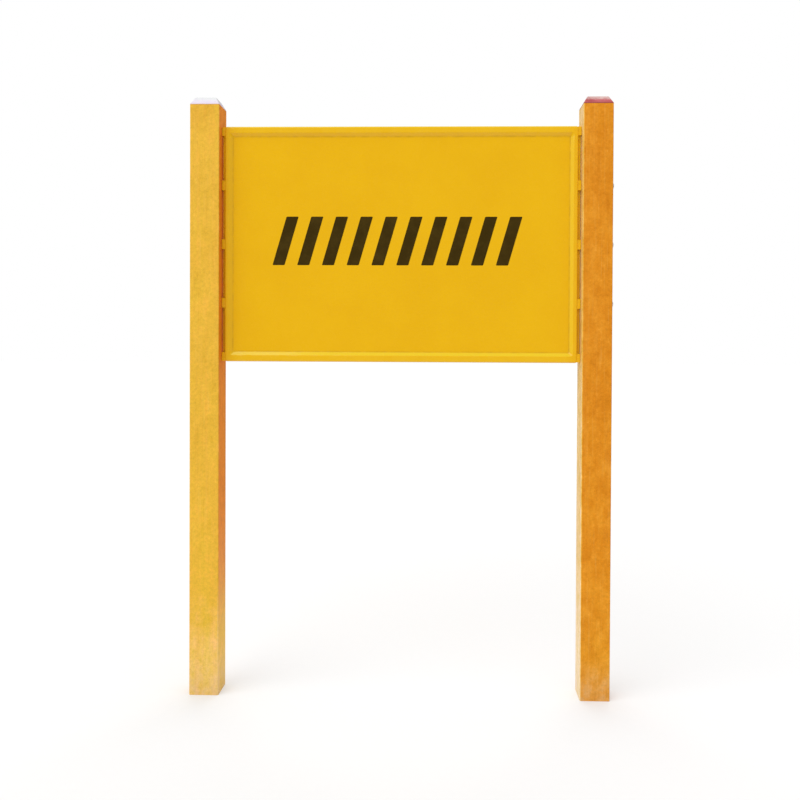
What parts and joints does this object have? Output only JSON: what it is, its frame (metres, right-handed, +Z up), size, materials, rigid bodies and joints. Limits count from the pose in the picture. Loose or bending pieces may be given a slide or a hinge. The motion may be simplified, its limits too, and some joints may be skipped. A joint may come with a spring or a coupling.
{
  "type": "twin-post warning sign",
  "caption": "Free-standing sign: two hollow square posts with chamfered caps, and a moulded panel with a raised rim round a recessed field, bolted between them.",
  "frame": {"origin": "on the ground, midway between the two posts", "axes": "+X from the left post to the right one as the reader sees them, +Y from the sign's front to its back, +Z up"},
  "size_m": [1.081, 0.075, 1.52],
  "materials": {
    "post": "matte",
    "panel": "gloss",
    "white_cap": "satin",
    "red_cap": "satin",
    "zinc": "satin"
  },
  "bodies": {
    "root": {"left_post": "post", "right_post": "post", "left_cap": "white_cap", "right_cap": "red_cap", "front_panel": "panel", "rear_panel": "panel", "left_channel": "zinc", "right_channel": "zinc", "left_bolt_1": "zinc", "left_bolt_2": "zinc", "left_bolt_3": "zinc", "right_bolt_1": "zinc", "right_bolt_2": "zinc", "right_bolt_3": "zinc", "left_washer_1": "zinc", "left_washer_2": "zinc", "left_washer_3": "zinc", "right_washer_1": "zinc", "right_washer_2": "zinc", "right_washer_3": "zinc", "left_sleeve_1": "zinc", "left_sleeve_2": "zinc", "left_sleeve_3": "zinc", "right_sleeve_1": "zinc", "right_sleeve_2": "zinc", "right_sleeve_3": "zinc", "left_nut_1": "zinc", "left_nut_2": "zinc", "left_nut_3": "zinc", "right_nut_1": "zinc", "right_nut_2": "zinc", "right_nut_3": "zinc"}
  },
  "joints": []
}
